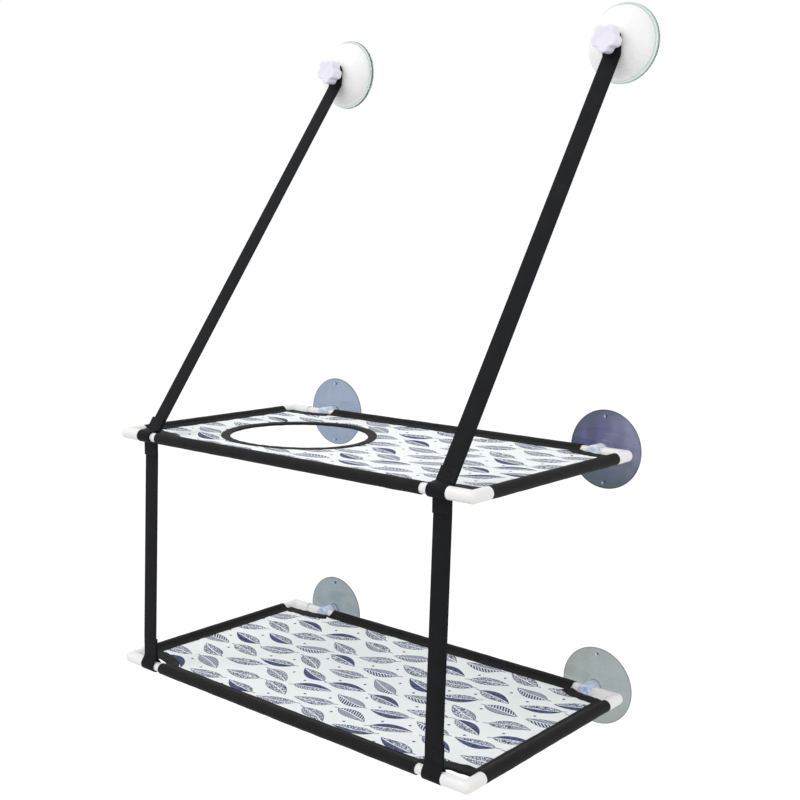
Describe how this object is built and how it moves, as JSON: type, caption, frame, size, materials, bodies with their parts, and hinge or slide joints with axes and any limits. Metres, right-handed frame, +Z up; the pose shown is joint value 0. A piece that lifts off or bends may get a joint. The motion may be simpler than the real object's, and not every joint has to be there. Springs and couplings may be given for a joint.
{
  "type": "cat window hammock",
  "caption": "Window perch for a cat: stacked fabric decks on tube frames, hinged at suction cups and hung by webbing straps from screw-type suction cups.",
  "frame": {"origin": "on the glass, midway between the decks' sides, level with the upper deck's tubes", "axes": "+Z up, +Y towards the glass, +X to the right as seen from the room"},
  "size_m": [0.5952, 0.3505, 0.913],
  "materials": {
    "white_pipe": "white moulded PVC, semi-gloss",
    "printed_cloth": "white plain-weave cloth with a navy leaf print",
    "edge_cloth": "black woven binding, matt",
    "webbing": "black polyester webbing, matt with a slight sheen",
    "blue_vinyl": "translucent blue-grey vinyl, glossy",
    "clear_vinyl": "clear vinyl with a green tint, glossy",
    "cover_plastic": "white moulded plastic, glossy",
    "knob_plastic": "cool white moulded plastic, satin",
    "zinc_steel": "zinc-plated steel"
  },
  "bodies": {
    "anchors": {"upper_left_cup": "blue_vinyl", "upper_right_cup": "blue_vinyl", "lower_left_cup": "blue_vinyl", "lower_right_cup": "blue_vinyl", "left_anchor_cup": "clear_vinyl", "left_cup_cover": "cover_plastic", "left_stud": "zinc_steel", "left_hanger_strap": "webbing", "right_anchor_cup": "clear_vinyl", "right_cup_cover": "cover_plastic", "right_stud": "zinc_steel", "right_hanger_strap": "webbing"},
    "upper_deck": {"upper_front_tube": "white_pipe", "upper_back_tube": "white_pipe", "upper_left_tube": "white_pipe", "upper_right_tube": "white_pipe", "upper_front_left_elbow": "white_pipe", "upper_front_right_elbow": "white_pipe", "upper_back_left_elbow": "white_pipe", "upper_back_right_elbow": "white_pipe", "upper_sling": "printed_cloth", "upper_front_sleeve": "edge_cloth", "upper_back_sleeve": "edge_cloth", "upper_left_sleeve": "edge_cloth", "upper_right_sleeve": "edge_cloth", "upper_front_left_binding": "edge_cloth", "upper_front_right_binding": "edge_cloth", "upper_back_left_binding": "edge_cloth", "upper_back_right_binding": "edge_cloth", "upper_hole_binding": "edge_cloth", "left_strap_loop": "webbing", "right_strap_loop": "webbing"},
    "lower_deck": {"lower_front_tube": "white_pipe", "lower_back_tube": "white_pipe", "lower_left_tube": "white_pipe", "lower_right_tube": "white_pipe", "lower_front_left_elbow": "white_pipe", "lower_front_right_elbow": "white_pipe", "lower_back_left_elbow": "white_pipe", "lower_back_right_elbow": "white_pipe", "lower_sling": "printed_cloth", "lower_front_sleeve": "edge_cloth", "lower_back_sleeve": "edge_cloth", "lower_left_sleeve": "edge_cloth", "lower_right_sleeve": "edge_cloth", "lower_front_left_binding": "edge_cloth", "lower_front_right_binding": "edge_cloth", "lower_back_left_binding": "edge_cloth", "lower_back_right_binding": "edge_cloth"},
    "link_straps": {"left_link_strap": "webbing", "right_link_strap": "webbing"},
    "left_clamp": {"left_washer": "zinc_steel"},
    "left_grip": {"left_knob": "knob_plastic"},
    "right_clamp": {"right_washer": "zinc_steel"},
    "right_grip": {"right_knob": "knob_plastic"}
  },
  "joints": [
    {"name": "upper_fold", "type": "hinge", "parent": "anchors", "child": "upper_deck", "pos_m": [0, -0.0245, 0], "axis": [-1, 0, 0], "range_deg": [0, 80], "deforming": ["left_hanger_strap", "right_hanger_strap"]},
    {"name": "lower_fold", "type": "hinge", "parent": "anchors", "child": "lower_deck", "pos_m": [0, -0.0245, -0.314], "axis": [-1, 0, 0], "range_deg": [0, 80]},
    {"name": "link_swing", "type": "hinge", "parent": "upper_deck", "child": "link_straps", "pos_m": [0, -0.3425, 0], "axis": [-1, 0, 0], "range_deg": [-80, 0], "deforming": ["left_link_strap", "right_link_strap"]},
    {"name": "left_clamp_slide", "type": "slide", "parent": "anchors", "child": "left_clamp", "axis": [0, -1, 0], "range_m": [0, 0.00601]},
    {"name": "left_knob_turn", "type": "hinge", "parent": "left_clamp", "child": "left_grip", "pos_m": [-0.2022, -0.04, 0.5], "axis": [0, -1, 0], "range_deg": [0, 1440]},
    {"name": "right_clamp_slide", "type": "slide", "parent": "anchors", "child": "right_clamp", "axis": [0, -1, 0], "range_m": [0, 0.00601]},
    {"name": "right_knob_turn", "type": "hinge", "parent": "right_clamp", "child": "right_grip", "pos_m": [0.2507, -0.04, 0.5], "axis": [0, -1, 0], "range_deg": [0, 1440]}
  ],
  "couplings": [
    {"joint": "lower_fold", "follows": "upper_fold", "ratio": 1},
    {"joint": "link_swing", "follows": "upper_fold", "ratio": -1},
    {"joint": "left_clamp_slide", "follows": "left_knob_turn", "m_per_rad": 0.00023873},
    {"joint": "right_clamp_slide", "follows": "right_knob_turn", "m_per_rad": 0.00023873}
  ]
}
